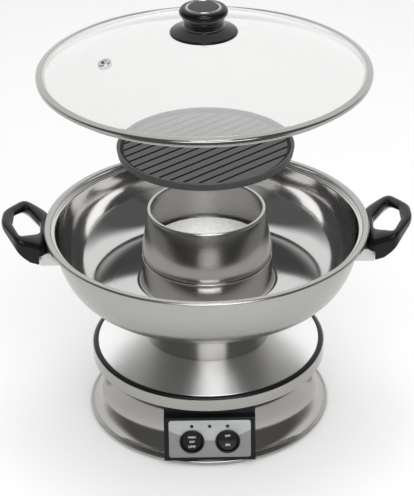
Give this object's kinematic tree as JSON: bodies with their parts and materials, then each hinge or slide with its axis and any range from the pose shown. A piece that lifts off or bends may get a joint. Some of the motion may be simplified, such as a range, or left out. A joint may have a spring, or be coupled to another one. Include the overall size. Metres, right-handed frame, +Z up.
{
  "type": "electric hot pot with grill plate",
  "caption": "Round steel bowl with a chimney and side handles on a pedestal heater base, with a grill plate for the chimney and a domed glass lid shown lifted above it.",
  "frame": {"origin": "on the floor under the middle of the feet, at the object's vertical axis", "axes": "+Z up along the vertical axis, +X to the right as seen from the control panel, -Y out of the control panel"},
  "size_m": [0.415, 0.33, 0.4486],
  "materials": {
    "polished_steel": "polished stainless steel",
    "satin_steel": "satin stainless steel",
    "plain_steel": "plain pressed or turned steel",
    "black_phenolic": "glossy black heat-proof moulding",
    "black_plastic": "semi-gloss black moulding",
    "dark_coating": "cast plate with a dark grey non-stick coating",
    "clear_glass": "clear toughened glass",
    "black_rubber": "matt black rubber",
    "pale_enamel": "smooth pale enamel",
    "panel_grey": null,
    "element_sheath": "heat-darkened heater sheath",
    "ceramic": "unglazed white ceramic",
    "lamp_lens": "dark red lamp lens, unlit",
    "bright_chrome": "bright chrome plate"
  },
  "bodies": {
    "base": {"base_shell": "satin_steel", "bottom_cover": "plain_steel", "control_housing": "black_plastic", "disc_ledge_ring": "plain_steel", "disc_seal": "black_rubber", "drum_heat_plate": "pale_enamel", "drum_stand": "plain_steel", "element_clip_left": "plain_steel", "element_clip_right": "plain_steel", "faceplate": "panel_grey", "foot_1": "black_rubber", "foot_2": "black_rubber", "foot_3": "black_rubber", "foot_4": "black_rubber", "grill_heating_element": "element_sheath", "grill_lamp": "lamp_lens", "grill_switch_body": "black_plastic", "grill_thermostat": "ceramic", "heat_switch_body": "black_plastic", "heater_drum": "satin_steel", "pot_heating_element": "element_sheath", "pot_lamp": "lamp_lens", "pot_thermostat": "ceramic", "power_inlet_bush": "black_rubber", "power_lamp": "lamp_lens", "reflector": "polished_steel", "stand_screw_1": "plain_steel", "stand_screw_2": "plain_steel", "stand_screw_3": "plain_steel", "terminal_block": "ceramic", "thermal_cutout": "ceramic", "top_disc": "polished_steel"},
    "heat_switch_rocker": {"heat_rocker": "black_plastic"},
    "grill_switch_rocker": {"grill_rocker": "black_plastic"},
    "pot": {"bowl": "polished_steel", "chimney": "satin_steel", "fire_tube": "polished_steel", "handle_left": "black_phenolic", "handle_right": "black_phenolic", "handle_saddle_left": "satin_steel", "handle_saddle_right": "satin_steel", "handle_screw_left_1": "plain_steel", "handle_screw_left_2": "plain_steel", "handle_screw_right_1": "plain_steel", "handle_screw_right_2": "plain_steel"},
    "plate": {"grill_plate": "dark_coating"},
    "lid": {"lid_glass": "clear_glass", "lid_band": "satin_steel", "steam_vent": "bright_chrome", "knob_cap": "black_plastic", "knob_flange": "black_phenolic", "knob_grip": "black_phenolic", "knob_ring": "bright_chrome", "knob_screw": "plain_steel", "knob_washer": "plain_steel"}
  },
  "joints": [
    {"name": "pot_lift", "type": "slide", "parent": "base", "child": "pot", "axis": [0, 0, 1], "range_m": [0, 0.11]},
    {"name": "plate_lift", "type": "slide", "parent": "pot", "child": "plate", "axis": [0, 0, 1], "range_m": [-0.0615, 0]},
    {"name": "lid_lift", "type": "slide", "parent": "plate", "child": "lid", "axis": [0, 0, 1], "range_m": [-0.1008, 0]},
    {"name": "heat_switch_turn", "type": "hinge", "parent": "base", "child": "heat_switch_rocker", "pos_m": [-0.018, -0.11842, 0.0284], "axis": [1, 0, 0], "range_deg": [-9, 9]},
    {"name": "grill_switch_turn", "type": "hinge", "parent": "base", "child": "grill_switch_rocker", "pos_m": [0.018, -0.11842, 0.0284], "axis": [1, 0, 0], "range_deg": [0, 16]}
  ]
}
